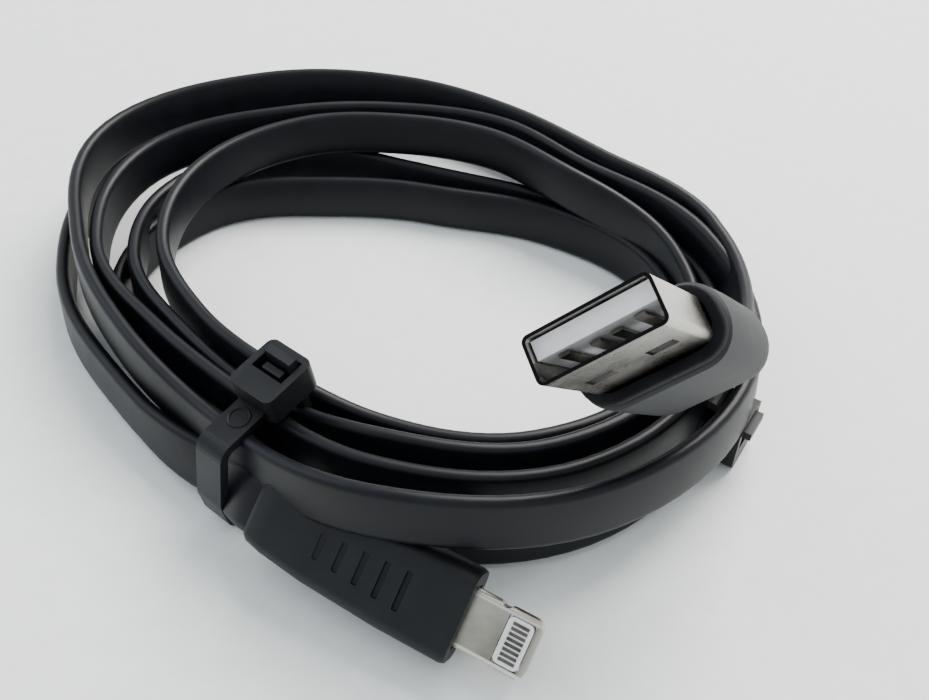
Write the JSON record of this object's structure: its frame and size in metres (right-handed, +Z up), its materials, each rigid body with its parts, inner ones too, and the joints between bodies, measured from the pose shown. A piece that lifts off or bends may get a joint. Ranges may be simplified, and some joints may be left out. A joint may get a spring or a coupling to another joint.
{
  "type": "charging cable",
  "caption": "Coiled flat charging cable with a rectangular plug at one end and a slim tab plug at the other, bundled with nylon ties.",
  "frame": {"origin": "middle of the whole part's bounding box, on the surface it lies on", "axes": "+Z up out of the surface, -Y towards the side with the tab plug, +X to the right seen from there"},
  "size_m": [0.0963, 0.1021, 0.0461],
  "materials": {
    "cord": "satin moulded elastomer",
    "mould": "fine matte moulding",
    "collar": "fine matte moulding",
    "steel": "plated sheet steel, lightly marked",
    "nickel": "nickel plate, satin",
    "white": "glossy insulator",
    "gold": "plated contact",
    "board": "lacquered circuit board",
    "chip": "moulded package",
    "wire": "insulated core",
    "nylon": "black nylon with soft sheen"
  },
  "bodies": {
    "cable": {"cord_coil": "cord", "usb_lead": "cord", "tip_lead": "cord", "usb_shell": "steel", "usb_tongue": "white", "usb_inner_mould": "collar", "usb_overmould": "mould", "usb_contact_1": "gold", "usb_wire_1": "wire", "usb_contact_2": "gold", "usb_wire_2": "wire", "usb_contact_3": "gold", "usb_wire_3": "wire", "usb_contact_4": "gold", "usb_wire_4": "wire", "tip_frame": "nickel", "tip_pad_top": "white", "tip_contact_top_1": "gold", "tip_contact_top_2": "gold", "tip_contact_top_3": "gold", "tip_contact_top_4": "gold", "tip_contact_top_5": "gold", "tip_contact_top_6": "gold", "tip_contact_top_7": "gold", "tip_contact_top_8": "gold", "tip_pad_bottom": "white", "tip_contact_bottom_1": "gold", "tip_contact_bottom_2": "gold", "tip_contact_bottom_3": "gold", "tip_contact_bottom_4": "gold", "tip_contact_bottom_5": "gold", "tip_contact_bottom_6": "gold", "tip_contact_bottom_7": "gold", "tip_contact_bottom_8": "gold", "tip_board": "board", "tip_chip": "chip", "tip_overmould": "mould", "tip_wire_1": "wire", "tip_wire_2": "wire", "front_tie": "nylon", "side_tie": "nylon"},
    "front_pawl": {"front_tie_pawl": "nylon"},
    "side_pawl": {"side_tie_pawl": "nylon"}
  },
  "joints": [
    {"name": "front_pawl_flex", "type": "hinge", "parent": "cable", "child": "front_pawl", "pos_m": [-0.01115, -0.0213, 0.01441], "axis": [0.7771, -0.6293, 0], "range_deg": [0, 10], "stiffness_Nm_per_rad": 0.001},
    {"name": "side_pawl_flex", "type": "hinge", "parent": "cable", "child": "side_pawl", "pos_m": [0.04171, -0.01916, 0.00445], "axis": [0.5446, 0.8387, 0], "range_deg": [0, 10], "stiffness_Nm_per_rad": 0.001}
  ]
}
